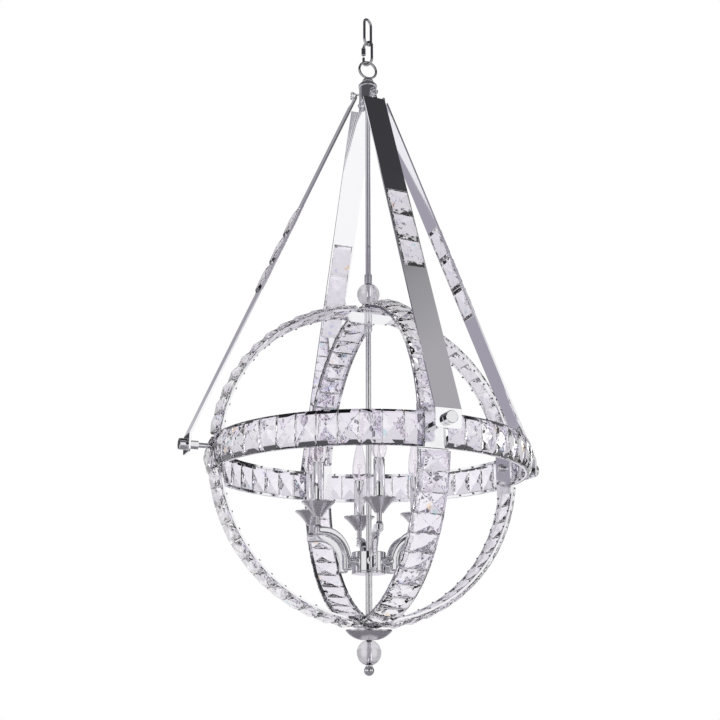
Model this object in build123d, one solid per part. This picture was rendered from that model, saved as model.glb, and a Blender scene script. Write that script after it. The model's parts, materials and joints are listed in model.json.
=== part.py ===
from build123d import *
from math import asin, atan2, cos, degrees, radians, sin, sqrt, tan
import os

# Crystal orb chandelier. Three rings of cut crystal make a globe that hangs on four flat straps
# from a hub, a loop and two chain links. Six candle lamps stand on bent arms inside the globe.
# The part is drawn about the centre of the level ring and written with the hang point as origin.

# Ring rails and crystals (mm)
RAIL_IN = 241.0
RAIL_THICK = 3.0
RAIL_WIDTH = 4.0
LEVEL_BAND = 49.4
UPRIGHT_BAND = 46.6
BAND_CLEAR = 2.5
JUNCTION_HALF = 15.0
JUNCTION_LAP = 4.0
JUNCTION_GAP = 0.5
CHORD_THICK = 2.5
CHORD_LAP = 6.0
SPACER_THICK = 2.0
SPACER_R = 9.0
CRYSTALS_PER_QUARTER = 12
CRYSTAL_THICK = 12.5
CRYSTAL_WALL = 3.0
CRYSTAL_SHOULDER = 7.0
CRYSTAL_BEVEL = 6.0
CRYSTAL_GAP = 0.8
SCREW_R = 1.5
SCREW_HEIGHT = 1.6

# Bolts that join the rings and hold the strap tabs
BOLT_D = 7.5
BOLT_Z = 6.0
NUT_R = 6.5
NUT_LENGTH = 8.0
BACK_NUT_LENGTH = 15.0
DOME_R = 7.0
DOME_COLLAR = 3.0
DOME_WALL = 2.5
STANDOFF_GAP = 42.0
KNOB_D = 17.5
KNOB_LENGTH = 11.0
KNOB_END = 3.5
KNOB_CHAMFER = 0.8

# Straps, their windows and their hooks
STRAP_WIDTH = 39.0
STRAP_THICK = 3.0
STRAP_TOP_R = 23.7
EAR_WIDTH = 12.0
EAR_LENGTH = 14.0
EAR_END = 3.4
TAB_ABOVE = 14.0
TAB_BELOW = 13.5
TAB_CORNER = 5.0
WINDOW_DROP = 246.0
WINDOW_CRYSTALS = 3
WINDOW_CRYSTAL_LENGTH = 55.0
WINDOW_CRYSTAL_WIDTH = 33.0
WINDOW_CRYSTAL_THICK = 10.0
WINDOW_CRYSTAL_BACK = 2.5
HOOK_R = 28.5
HOOK_IN_R = 5.2
HOOK_WIRE = 2.3
HOOK_GAP_ANGLE = 50.0
STUD_D = 3.0
STUD_END = 1.8

# Hub, loop and chain
PEG_RISE = 641.0
PEG_D = 3.0
PEG_END = 1.8
HUB_R = 15.0
HUB_ABOVE_PEG = 16.5
HUB_BELOW_PEG = 9.0
HUB_CUP_HEIGHT = 13.0
HUB_TIP_R = 8.5
HUB_CAP_R = 16.0
HUB_LIP = 5.0
HUB_ROOF = 6.5
HUB_ROOF_R = 9.6
COLLAR_R = 9.4
COLLAR_TOP_R = 6.8
COLLAR_HEIGHT = 6.5
NECK_D = 10.0
NECK_DEPTH = 14.0
LOOP_OUT_R = 17.5
LOOP_THICK = 4.0
LOOP_WIDTH = 5.0
LINK_WIRE = 4.6
LINK_WIDTH = 23.0
LOWER_LINK_HEIGHT = 49.3
UPPER_LINK_HEIGHT = 54.5
LINK_CLEAR = 0.3
LOWER_LINK_TURN = -60.0
UPPER_LINK_TURN = 30.0
STUB_LENGTH = 11.0
THREAD_LENGTH = 8.0
LINK_SLEEVE_D = 8.0
LINK_SLEEVE_LENGTH = 13.0

# Rod and crystal balls on the axis
ROD_D = 8.5
LOWER_ROD_D = 10.0
CORE_D = 6.0
ROD_SEAT = 9.0
ROD_SLEEVE_D = 12.2
ROD_SLEEVE_LENGTH = 16.5
BALL_R = 18.5
BALL_FLAT_R = 5.0
SEAT_R = 10.0
SEAT_HEIGHT = 15.7
COUPLER_D = 12.7
COUPLER_LENGTH = 19.5
COUPLER_TAPER = 4.0
COUPLER_LIP = 1.0
CAP_R = 35.0
CAP_FOOT_R = 7.0
CAP_RIM = 2.0
CAP_DEPTH = 13.0
CAP_WALL = 2.0
CAP_CURVE = 38.0
CAP_CLEAR = 0.5
FINIAL_R = 7.6
FINIAL_NECK_R = 5.0
FINIAL_NECK = 2.0
FINIAL_BORE = 8.0

# Lamp cluster
LAMP_DROP = 140.0
DRUM_R = 26.0
DRUM_HEIGHT = 30.0
DRUM_WALL = 2.5
DRUM_TOP = 4.0
DRUM_PLATE = 3.0
ARMS = 6
ARM_TURN = -12.5
ARM_DEPTH = 13.0
ARM_WIDTH = 11.0
LEG_R = 42.0
BEND_R = 42.0
ARM_RISE = 62.0
LAMP_R = 97.0
STUB_D = 14.0
NECK_R = 3.75
FOOT_R = 5.5
FOOT_HEIGHT = 2.0
CUP_NECK = 14.0
CUP_BASE_R = 6.5
CUP_R = 25.0
CUP_HEIGHT = 20.5
CUP_CURVE = 70.0
CUP_RIM = 1.5
CUP_RECESS = 2.0
CANDLE_D = 17.0
CANDLE_WALL = 1.2
CANDLE_HEIGHT = 60.0
HOLDER_DROP = 4.0
SOCKET_DEPTH = 25.0
BULB_BASE_R = 5.8
BULB_BASE = 24.0
BULB_R = 11.5
BULB_BELLY = 18.0
BULB_LENGTH = 76.0
BULB_TIP_R = 1.6
BULB_FLARE = 0.8
BULB_TAPER = 3.0

# Clearances between pieces
FIT = 0.05
RUN_FIT = 0.08
SLIP = 0.3
HOLE_CLEAR = 0.2
SEAT_GAP = 0.02

# Places worked out from the sizes above
STRAP_ANGLES = {1: -90.0, 2: 0.0, 3: 90.0, 4: 180.0}
RAIL_OUT = RAIL_IN + RAIL_THICK
CHORD_OUT = RAIL_IN - SPACER_THICK
CHORD_IN = CHORD_OUT - CHORD_THICK
CHORD_HALF = sqrt(RAIL_IN**2 - CHORD_OUT**2) + CHORD_LAP
CORE_HOLE_R = CORE_D / 2 + HOLE_CLEAR

TAB_IN = RAIL_OUT + STANDOFF_GAP
TAB_R = TAB_IN + STRAP_THICK / 2
TAB_OUT = TAB_IN + STRAP_THICK
KNOB_IN = TAB_OUT + RUN_FIT
KNOB_OUT = KNOB_IN + KNOB_LENGTH
BOLT_END = KNOB_OUT - KNOB_END

HOOK_Z = PEG_RISE + PEG_D / 2 + FIT - HOOK_IN_R
STUD_Z = HOOK_Z - HOOK_IN_R + FIT + STUD_D / 2
BEND_Z = BOLT_Z + TAB_ABOVE
STRAP_LEAN = atan2(TAB_R - STRAP_TOP_R, STUD_Z - BEND_Z)
EAR_TOP_R = STRAP_TOP_R - EAR_END * sin(STRAP_LEAN)
EAR_TOP_Z = STUD_Z + EAR_END * cos(STRAP_LEAN)
WINDOW_LENGTH = WINDOW_CRYSTALS * WINDOW_CRYSTAL_LENGTH + 2 * SLIP

HUB_TOP_Z = PEG_RISE + HUB_ABOVE_PEG
HUB_WAIST_Z = PEG_RISE - HUB_BELOW_PEG
HUB_TIP_Z = HUB_WAIST_Z - HUB_CUP_HEIGHT
CAP_TOP_Z = HUB_TOP_Z + HUB_LIP + HUB_ROOF
COLLAR_TOP_Z = CAP_TOP_Z + COLLAR_HEIGHT
LOOP_Z = COLLAR_TOP_Z + LOOP_OUT_R
LINK_BEND_R = (LINK_WIDTH - LINK_WIRE) / 2
LOWER_PIVOT_Z = LOOP_Z + LOOP_OUT_R - LOOP_THICK - LINK_CLEAR - LINK_WIRE / 2
LOWER_LINK_Z = LOWER_PIVOT_Z - LINK_WIRE / 2 + LOWER_LINK_HEIGHT / 2
UPPER_PIVOT_Z = LOWER_LINK_Z + LOWER_LINK_HEIGHT / 2 - 1.5 * LINK_WIRE - LINK_CLEAR
UPPER_LINK_Z = UPPER_PIVOT_Z - LINK_WIRE / 2 + UPPER_LINK_HEIGHT / 2
HANG_Z = UPPER_LINK_Z + UPPER_LINK_HEIGHT / 2 - LINK_WIRE

BALL_HALF = sqrt(BALL_R**2 - BALL_FLAT_R**2)
SEAT_TOP_Z = RAIL_OUT + SEAT_HEIGHT
TOP_BALL_Z = SEAT_TOP_Z + BALL_HALF
ROD_SLEEVE_Z = TOP_BALL_Z + BALL_HALF
ROD_STEP_Z = ROD_SLEEVE_Z + ROD_SLEEVE_LENGTH - ROD_SEAT
COUPLER_Z = CHORD_IN - COUPLER_LENGTH - COUPLER_TAPER
MIDDLE_ROD_TOP_Z = COUPLER_Z + ROD_SEAT
CRYSTAL_OUT = RAIL_OUT + CRYSTAL_THICK
CAP_FLOOR_Z = -CRYSTAL_OUT - CAP_CLEAR
CAP_RIM_Z = -sqrt(CRYSTAL_OUT**2 - (CAP_R - CAP_WALL) ** 2) - CAP_CLEAR
CAP_FOOT_Z = CAP_FLOOR_Z - CAP_DEPTH
BOTTOM_BALL_Z = CAP_FOOT_Z - BALL_HALF
FINIAL_TOP_Z = BOTTOM_BALL_Z - BALL_HALF - RUN_FIT

DRUM_TOP_Z = -LAMP_DROP
DRUM_BASE_Z = DRUM_TOP_Z - DRUM_HEIGHT
ARM_TOP_Z = DRUM_BASE_Z + ARM_RISE
CUP_TOP_Z = ARM_TOP_Z + CUP_NECK + CUP_HEIGHT + CUP_RIM
CANDLE_Z = CUP_TOP_Z - CUP_RECESS
CANDLE_TOP_Z = CANDLE_Z + CANDLE_HEIGHT
HOLDER_TOP_Z = CANDLE_TOP_Z - HOLDER_DROP
HOLDER_R = CANDLE_D / 2 - CANDLE_WALL - FIT
ARM_ANGLES = {k + 1: -90.0 + ARM_TURN + k * 360.0 / ARMS for k in range(ARMS)}


def side_face(*edges):
    """Face in the XZ plane from edges drawn as (distance from the axis, height)."""
    return Plane.XZ * make_face(Curve() + list(edges))


def turned(*edges):
    """Solid of revolution about the axis."""
    return revolve(side_face(*edges), Axis.Z)


def turned_points(*points):
    """Solid of revolution with straight sides."""
    return turned(Polyline(*points, close=True))


def upright(radius, low, high):
    """Round bar on the axis between two heights."""
    return Pos(0, 0, (low + high) / 2) * Cylinder(radius, high - low)


def radial(radius, start, end, height=0.0):
    """Round bar along +X between two distances from the axis."""
    return Pos((start + end) / 2, 0, height) * Rot(0, 90, 0) * Cylinder(radius, end - start)


def radial_hex(radius, start, end, height):
    """Hexagonal bar along +X between two distances from the axis."""
    hexagon = Plane(origin=(start, 0, height), z_dir=(1, 0, 0)) * RegularPolygon(radius, 6)
    return extrude(hexagon, end - start)


def at_straps(shape):
    """Copies of a shape drawn along +X, one at each strap."""
    return [Rot(0, 0, angle) * shape for angle in STRAP_ANGLES.values()]


def at_lamps(shape):
    """Copies of a shape drawn on the axis, one at each lamp."""
    return [Rot(0, 0, angle) * Pos(LAMP_R, 0, 0) * shape for angle in ARM_ANGLES.values()]


# Crystals

def crystal(width, length, thick):
    """X-cut block along Z: flat back at x = 0, bevelled ends and four facets that meet in a point."""
    y = width / 2
    z = length / 2
    s = z - CRYSTAL_BEVEL
    a = CRYSTAL_WALL
    b = CRYSTAL_SHOULDER
    tip = (thick, 0, 0)
    outlines = [
        [(0, -y, -z), (0, y, -z), (0, y, z), (0, -y, z)],
        [(0, -y, z), (0, y, z), (a, y, z), (a, -y, z)],
        [(0, -y, -z), (0, y, -z), (a, y, -z), (a, -y, -z)],
        [(a, -y, z), (a, y, z), (b, y, s), (b, -y, s)],
        [(a, -y, -z), (a, y, -z), (b, y, -s), (b, -y, -s)],
        [(0, y, -z), (0, y, z), (a, y, z), (b, y, s), (b, y, -s), (a, y, -z)],
        [(0, -y, -z), (0, -y, z), (a, -y, z), (b, -y, s), (b, -y, -s), (a, -y, -z)],
        [(b, -y, s), (b, y, s), tip],
        [(b, -y, -s), (b, y, -s), tip],
        [(b, y, -s), (b, y, s), tip],
        [(b, -y, -s), (b, -y, s), tip],
    ]
    return Solid(Shell([Face(Wire.make_polygon(points)) for points in outlines]))


def crystal_angles(gap_at_0, gap_at_90):
    """Pitch and angles of the crystals round a ring, from its half gaps at the crossings."""
    first = degrees(asin(gap_at_0 / RAIL_OUT))
    last = 90.0 - degrees(asin(gap_at_90 / RAIL_OUT))
    pitch = (last - first) / CRYSTALS_PER_QUARTER
    quarter = [first + (k + 0.5) * pitch for k in range(CRYSTALS_PER_QUARTER)]
    half = quarter + [180.0 - angle for angle in quarter]
    return pitch, half + [180.0 + angle for angle in half]


def ring_crystals(band, gap_at_0, gap_at_90):
    pitch, angles = crystal_angles(gap_at_0, gap_at_90)
    width = 2 * RAIL_OUT * tan(radians(pitch / 2)) - CRYSTAL_GAP
    block = Pos(RAIL_OUT + SEAT_GAP, 0, 0) * crystal(width, band, CRYSTAL_THICK)
    return [Rot(0, 0, angle) * block for angle in angles]


def ring_screws(band, gap_at_0, gap_at_90):
    angles = crystal_angles(gap_at_0, gap_at_90)[1]
    offset = (band - RAIL_WIDTH) / 2
    end = RAIL_IN - SEAT_GAP
    heads = [radial(SCREW_R, end - SCREW_HEIGHT, end, z) for z in (-offset, offset)]
    return [Rot(0, 0, angle) * head for angle in angles for head in heads]


# Rings, each drawn flat about Z and turned upright afterwards

def rails(band):
    rail = Cylinder(RAIL_OUT, RAIL_WIDTH) - Cylinder(RAIL_IN, RAIL_WIDTH)
    offset = (band - RAIL_WIDTH) / 2
    return Pos(0, 0, offset) * rail + Pos(0, 0, -offset) * rail


def crossing(angle, band, cut_half, plate_in, plate_out, plate_half):
    """Gap to cut in the rails at a crossing, and the flat plate that bridges it."""
    reach = 4 * (RAIL_OUT - CHORD_IN)
    gap = Pos(RAIL_IN, 0, 0) * Box(reach, 2 * cut_half, 2 * band)
    plate = Pos((plate_in + plate_out) / 2, 0, 0) * Box(plate_out - plate_in, 2 * plate_half, band)
    turn = Rot(0, 0, angle)
    return turn * gap, turn * plate


def outer_crossing(angle, band):
    return crossing(angle, band, JUNCTION_HALF - JUNCTION_LAP, RAIL_IN, RAIL_OUT, JUNCTION_HALF)


def inner_crossing(angle, band, other_band):
    return crossing(angle, band, other_band / 2 + BAND_CLEAR, CHORD_IN, CHORD_OUT, CHORD_HALF)


def ring_frame(band, crossings):
    frame = rails(band)
    for gap, plate in crossings:
        frame = frame - gap
    for gap, plate in crossings:
        frame = frame + plate
    return frame


def level_frame():
    frame = ring_frame(LEVEL_BAND, [outer_crossing(a, LEVEL_BAND) for a in STRAP_ANGLES.values()])
    for hole in at_straps(radial(BOLT_D / 2 + HOLE_CLEAR, CHORD_IN, TAB_IN, BOLT_Z)):
        frame = frame - hole
    return frame


def upright_holes():
    """Bolt holes where the level ring crosses and core holes at the poles."""
    bolt = Rot(0, 90, 0) * Cylinder(BOLT_D / 2 + HOLE_CLEAR, 2 * TAB_IN)
    core = Rot(90, 0, 0) * Cylinder(CORE_HOLE_R, 2 * TAB_IN)
    return Pos(0, BOLT_Z, 0) * bolt + core


def side_frame():
    level = [inner_crossing(a, UPRIGHT_BAND, LEVEL_BAND) for a in (0.0, 180.0)]
    poles = [inner_crossing(a, UPRIGHT_BAND, UPRIGHT_BAND) for a in (90.0, 270.0)]
    return ring_frame(UPRIGHT_BAND, level + poles) - upright_holes()


def front_frame():
    level = [inner_crossing(a, UPRIGHT_BAND, LEVEL_BAND) for a in (0.0, 180.0)]
    poles = [outer_crossing(a, UPRIGHT_BAND) for a in (90.0, 270.0)]
    return ring_frame(UPRIGHT_BAND, level + poles) - upright_holes()


def ring_nodes():
    side = Rot(90, 0, 0)
    front = Rot(0, 0, 90) * side
    small = JUNCTION_HALF + JUNCTION_GAP
    under_level = LEVEL_BAND / 2 + BAND_CLEAR + JUNCTION_GAP
    under_front = UPRIGHT_BAND / 2 + BAND_CLEAR + JUNCTION_GAP
    return {
        "level_ring_frame": [level_frame()],
        "level_ring_crystals": ring_crystals(LEVEL_BAND, small, small),
        "level_ring_screws": ring_screws(LEVEL_BAND, small, small),
        "side_ring_frame": [side * side_frame()],
        "side_ring_crystals": [side * s for s in ring_crystals(UPRIGHT_BAND, under_level, under_front)],
        "side_ring_screws": [side * s for s in ring_screws(UPRIGHT_BAND, under_level, under_front)],
        "front_ring_frame": [front * front_frame()],
        "front_ring_crystals": [front * s for s in ring_crystals(UPRIGHT_BAND, under_level, small)],
        "front_ring_screws": [front * s for s in ring_screws(UPRIGHT_BAND, under_level, small)],
    }


# Bolts, nuts and knobs at the four crossings

def dome_nut():
    centre = Pos(CHORD_IN - DOME_COLLAR, 0, BOLT_Z)
    dome = centre * Sphere(DOME_R) - centre * Pos(DOME_R, 0, 0) * Box(2 * DOME_R, 3 * DOME_R, 3 * DOME_R)
    collar = radial(DOME_R, CHORD_IN - DOME_COLLAR, CHORD_IN, BOLT_Z)
    return dome + collar - radial(BOLT_D / 2 + FIT, bolt_start(), CHORD_IN, BOLT_Z)


def bolt_start():
    return CHORD_IN - DOME_COLLAR - DOME_R + DOME_WALL


def hex_nut(start, length):
    bore = radial(BOLT_D / 2 + FIT, start, start + length, BOLT_Z)
    return radial_hex(NUT_R, start, start + length, BOLT_Z) - bore


def knob():
    body = chamfer(radial(KNOB_D / 2, KNOB_IN, KNOB_OUT, BOLT_Z).edges(), KNOB_CHAMFER)
    return body - radial(BOLT_D / 2 + RUN_FIT, KNOB_IN, BOLT_END + SLIP, BOLT_Z)


def spacers():
    disc = radial(SPACER_R, CHORD_OUT, RAIL_IN, BOLT_Z)
    disc = disc - radial(BOLT_D / 2 + HOLE_CLEAR, CHORD_OUT, RAIL_IN, BOLT_Z)
    pole = upright(SPACER_R, CHORD_OUT, RAIL_IN) - upright(CORE_HOLE_R, CHORD_OUT, RAIL_IN)
    return at_straps(disc) + [pole, Rot(180, 0, 0) * pole]


def standoff_nodes():
    bolt = radial(BOLT_D / 2, bolt_start() + FIT, BOLT_END, BOLT_Z)
    outer = hex_nut(RAIL_OUT, NUT_LENGTH)
    back = hex_nut(TAB_IN - BACK_NUT_LENGTH, BACK_NUT_LENGTH)
    nodes = {
        "standoff_bolts": at_straps(bolt),
        "standoff_nuts": at_straps(outer) + at_straps(back),
        "dome_nuts": at_straps(dome_nut()),
        "junction_spacers": spacers(),
    }
    for number, angle in STRAP_ANGLES.items():
        nodes[f"standoff_knob_{number}"] = [Rot(0, 0, angle) * knob()]
    return nodes


# Straps and hooks

def strap_plane(distance):
    """Plane in the strap's middle, a distance below its top: x outward, z up along the strap."""
    r = EAR_TOP_R + distance * sin(STRAP_LEAN)
    z = EAR_TOP_Z - distance * cos(STRAP_LEAN)
    return Pos(r, 0, z) * Rot(0, -degrees(STRAP_LEAN), 0)


def strap():
    half = STRAP_THICK / 2
    mitre = half * tan(STRAP_LEAN / 2)
    c = cos(STRAP_LEAN)
    s = sin(STRAP_LEAN)
    tab_z = BOLT_Z - TAB_BELOW
    outline = Polyline(
        (EAR_TOP_R + half * c, EAR_TOP_Z + half * s),
        (TAB_R + half, BEND_Z + mitre),
        (TAB_R + half, tab_z),
        (TAB_R - half, tab_z),
        (TAB_R - half, BEND_Z - mitre),
        (EAR_TOP_R - half * c, EAR_TOP_Z - half * s),
        close=True,
    )
    bar = extrude(side_face(outline), STRAP_WIDTH / 2, both=True)
    bar = fillet(bar.edges().filter_by(Axis.X).group_by(Axis.Z)[0], TAB_CORNER)
    shoulder = (STRAP_WIDTH - EAR_WIDTH) / 2
    for side in (-1, 1):
        y = side * (EAR_WIDTH + shoulder) / 2
        bar = bar - strap_plane(0) * Pos(0, y, 0) * Box(4 * STRAP_THICK, shoulder, 2 * EAR_LENGTH)
    width = WINDOW_CRYSTAL_WIDTH + 2 * SLIP
    window = Box(4 * STRAP_THICK, width, WINDOW_LENGTH)
    bar = bar - strap_plane(WINDOW_DROP + WINDOW_LENGTH / 2) * window
    bar = bar - radial(BOLT_D / 2 + HOLE_CLEAR, CHORD_OUT, KNOB_OUT, BOLT_Z)
    return bar + radial(STUD_D / 2, STRAP_TOP_R, HOOK_R + HOOK_WIRE / 2 + STUD_END, STUD_Z)


def window_crystals():
    length = WINDOW_CRYSTAL_LENGTH - CRYSTAL_GAP
    block = crystal(WINDOW_CRYSTAL_WIDTH, length, WINDOW_CRYSTAL_THICK)
    block = Pos(-WINDOW_CRYSTAL_BACK, 0, 0) * block
    first = WINDOW_DROP + SLIP + WINDOW_CRYSTAL_LENGTH / 2
    return [strap_plane(first + k * WINDOW_CRYSTAL_LENGTH) * block for k in range(WINDOW_CRYSTALS)]


def hook():
    """Open ring square to the strap's direction, round the hub's peg and the strap's stud."""
    section = Pos(HOOK_IN_R + HOOK_WIRE / 2, 0, 0) * Circle(HOOK_WIRE / 2)
    ring = revolve(section, Axis.Y, 360.0 - HOOK_GAP_ANGLE)
    return Pos(HOOK_R, 0, HOOK_Z) * Rot(0, 0, 90) * Rot(0, -HOOK_GAP_ANGLE / 2, 0) * ring


def strap_nodes():
    nodes = {}
    for number, angle in STRAP_ANGLES.items():
        nodes[f"strap_{number}"] = [Rot(0, 0, angle) * strap()]
        nodes[f"strap_hook_{number}"] = [Rot(0, 0, angle) * hook()]
    nodes["strap_crystals"] = [copy for block in window_crystals() for copy in at_straps(block)]
    return nodes


# Hub, loop and chain

def hub_body():
    body = turned(
        Polyline((HUB_R, HUB_WAIST_Z), (HUB_R, HUB_TOP_Z), (0, HUB_TOP_Z), (0, HUB_TIP_Z),
                 (HUB_TIP_R, HUB_TIP_Z)),
        RadiusArc((HUB_TIP_R, HUB_TIP_Z), (HUB_R, HUB_WAIST_Z), -HUB_CUP_HEIGHT),
    )
    peg_end = HOOK_R + HOOK_WIRE / 2 + PEG_END
    for peg in at_straps(radial(PEG_D / 2, HUB_R - PEG_D, peg_end, PEG_RISE)):
        body = body + peg
    body = body - upright(NECK_D / 2 + FIT, HUB_TOP_Z - NECK_DEPTH, HUB_TOP_Z)
    return body - upright(ROD_D / 2 + FIT, HUB_TIP_Z, HUB_TIP_Z + ROD_SEAT)


def hub_cap():
    lip_z = HUB_TOP_Z + HUB_LIP
    roof = turned_points(
        (0, HUB_TOP_Z), (HUB_CAP_R, HUB_TOP_Z), (HUB_CAP_R, lip_z), (HUB_ROOF_R, CAP_TOP_Z), (0, CAP_TOP_Z),
    )
    return roof - upright(NECK_D / 2 + FIT, HUB_TOP_Z, CAP_TOP_Z)


def loop_collar():
    middle_z = (CAP_TOP_Z + COLLAR_TOP_Z) / 2
    cone = turned_points(
        (0, CAP_TOP_Z), (COLLAR_R, CAP_TOP_Z), (COLLAR_R, middle_z),
        (COLLAR_TOP_R, COLLAR_TOP_Z), (0, COLLAR_TOP_Z),
    )
    return cone - upright(NECK_D / 2 + FIT, CAP_TOP_Z, COLLAR_TOP_Z)


def hanging_loop():
    """Ring in the XZ plane with a neck that reaches down into the hub."""
    section = Pos(LOOP_OUT_R - LOOP_THICK / 2, 0, 0) * Ellipse(LOOP_THICK / 2, LOOP_WIDTH / 2)
    ring = Pos(0, 0, LOOP_Z) * revolve(section, Axis.Y)
    neck = upright(NECK_D / 2, HUB_TOP_Z - NECK_DEPTH, COLLAR_TOP_Z)
    root = Pos(0, 0, COLLAR_TOP_Z + LOOP_THICK / 4) * Box(NECK_D / 2, LOOP_WIDTH / 2, LOOP_THICK / 2)
    return ring + neck + root


def link_bend():
    """Lower half ring of a link, in the XZ plane about its own centre."""
    return revolve(Pos(LINK_BEND_R, 0, 0) * Circle(LINK_WIRE / 2), Axis.Y, 180.0)


def upper_link():
    leg = UPPER_LINK_HEIGHT - LINK_WIDTH
    low = Pos(0, 0, -leg / 2) * link_bend()
    high = Pos(0, 0, leg / 2) * Rot(0, 180, 0) * link_bend()
    legs = [Pos(x, 0, 0) * Cylinder(LINK_WIRE / 2, leg) for x in (-LINK_BEND_R, LINK_BEND_R)]
    return Pos(0, 0, UPPER_LINK_Z) * Rot(0, 0, UPPER_LINK_TURN) * (low + high + legs[0] + legs[1])


def lower_link():
    """Link with one leg open: a stub at the top, which the sleeve rides on, and a thread below."""
    leg = LOWER_LINK_HEIGHT - LINK_WIDTH
    low = Pos(0, 0, -leg / 2) * link_bend()
    high = Pos(0, 0, leg / 2) * Rot(0, 180, 0) * link_bend()
    whole = Pos(LINK_BEND_R, 0, 0) * Cylinder(LINK_WIRE / 2, leg)
    stub = Pos(-LINK_BEND_R, 0, 0) * upright(LINK_WIRE / 2, leg / 2 - STUB_LENGTH, leg / 2)
    thread = Pos(-LINK_BEND_R, 0, 0) * upright(LINK_WIRE / 2, -leg / 2, THREAD_LENGTH - leg / 2)
    return Pos(0, 0, LOWER_LINK_Z) * Rot(0, 0, LOWER_LINK_TURN) * (low + high + whole + stub + thread)


def link_sleeve():
    """Hexagonal sleeve pushed up its leg, off the thread, as the link hangs open."""
    top = (LOWER_LINK_HEIGHT - LINK_WIDTH) / 2
    sleeve = extrude(RegularPolygon(LINK_SLEEVE_D / 2, 6), LINK_SLEEVE_LENGTH)
    sleeve = sleeve - upright(LINK_WIRE / 2 + RUN_FIT, 0, LINK_SLEEVE_LENGTH)
    place = Pos(0, 0, LOWER_LINK_Z) * Rot(0, 0, LOWER_LINK_TURN)
    return place * Pos(-LINK_BEND_R, 0, top - LINK_SLEEVE_LENGTH) * sleeve


def hub_nodes():
    return {
        "chain_link_upper": [upper_link()],
        "chain_link_lower": [lower_link()],
        "link_sleeve": [link_sleeve()],
        "hanging_loop": [hanging_loop()],
        "loop_collar": [loop_collar()],
        "hub_cap": [hub_cap()],
        "hub_body": [hub_body()],
    }


# Rod, balls and cap on the axis

def crystal_ball(height):
    ball = Pos(0, 0, height) * Sphere(BALL_R)
    keep = Pos(0, 0, height) * Cylinder(BALL_R + SLIP, 2 * BALL_HALF)
    return (ball & keep) - upright(CORE_HOLE_R, height - BALL_HALF, height + BALL_HALF)


def bored(shape, radius, low, high):
    return shape - upright(radius, low, high)


def bottom_cap():
    """Dish under the lower crossing, hollow for the crystals, with a post up to the front ring's plate."""
    inside_r = CAP_R - CAP_WALL
    edge_z = CAP_RIM_Z - CAP_RIM
    dish = turned(
        Polyline((CAP_FOOT_R, CAP_FOOT_Z), (0, CAP_FOOT_Z), (0, -RAIL_OUT), (CAP_FOOT_R, -RAIL_OUT),
                 (CAP_FOOT_R, CAP_FLOOR_Z), (inside_r, CAP_FLOOR_Z), (inside_r, CAP_RIM_Z),
                 (CAP_R, CAP_RIM_Z), (CAP_R, edge_z)),
        RadiusArc((CAP_R, edge_z), (CAP_FOOT_R, CAP_FOOT_Z), CAP_CURVE),
    )
    return bored(dish, CORE_HOLE_R, CAP_FOOT_Z, -RAIL_OUT)


def pole_coupler():
    body = turned_points(
        (0, CHORD_IN), (COUPLER_D / 2, CHORD_IN), (COUPLER_D / 2, COUPLER_Z + COUPLER_TAPER),
        (ROD_D / 2 + COUPLER_LIP, COUPLER_Z), (0, COUPLER_Z),
    )
    body = bored(body, ROD_D / 2 + FIT, COUPLER_Z, MIDDLE_ROD_TOP_Z)
    return bored(body, CORE_D / 2 + FIT, MIDDLE_ROD_TOP_Z, CHORD_IN)


def finial():
    ball_z = FINIAL_TOP_Z - FINIAL_NECK - sqrt(FINIAL_R**2 - FINIAL_NECK_R**2)
    body = Pos(0, 0, ball_z) * Sphere(FINIAL_R) + upright(FINIAL_NECK_R, ball_z, FINIAL_TOP_Z)
    return bored(body, CORE_D / 2 + RUN_FIT, FINIAL_TOP_Z - FINIAL_BORE, FINIAL_TOP_Z)


def axis_nodes():
    core = CORE_D / 2
    upper = upright(ROD_D / 2, ROD_STEP_Z, HUB_TIP_Z + ROD_SEAT)
    upper = upper + upright(core, MIDDLE_ROD_TOP_Z, ROD_STEP_Z)
    lower_top = DRUM_TOP_Z - DRUM_TOP
    lower = upright(LOWER_ROD_D / 2, -CHORD_IN, lower_top)
    lower = lower + upright(core, FINIAL_TOP_Z - FINIAL_BORE + SLIP, -CHORD_IN)
    sleeve = upright(ROD_SLEEVE_D / 2, ROD_SLEEVE_Z, ROD_SLEEVE_Z + ROD_SLEEVE_LENGTH)
    sleeve = bored(sleeve, ROD_D / 2 + FIT, ROD_STEP_Z, ROD_STEP_Z + ROD_SEAT)
    seat = bored(upright(SEAT_R, RAIL_OUT, SEAT_TOP_Z), CORE_HOLE_R, RAIL_OUT, SEAT_TOP_Z)
    return {
        "rod_upper": [upper],
        "rod_middle": [upright(ROD_D / 2, lower_top, MIDDLE_ROD_TOP_Z)],
        "rod_lower": [lower],
        "rod_sleeve": [bored(sleeve, core + FIT, ROD_SLEEVE_Z, ROD_STEP_Z)],
        "top_crystal_ball": [crystal_ball(TOP_BALL_Z)],
        "top_seat": [seat],
        "pole_coupler": [pole_coupler()],
        "bottom_cap": [bottom_cap()],
        "bottom_crystal_ball": [crystal_ball(BOTTOM_BALL_Z)],
        "finial": [finial()],
    }


# Lamp cluster

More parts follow.
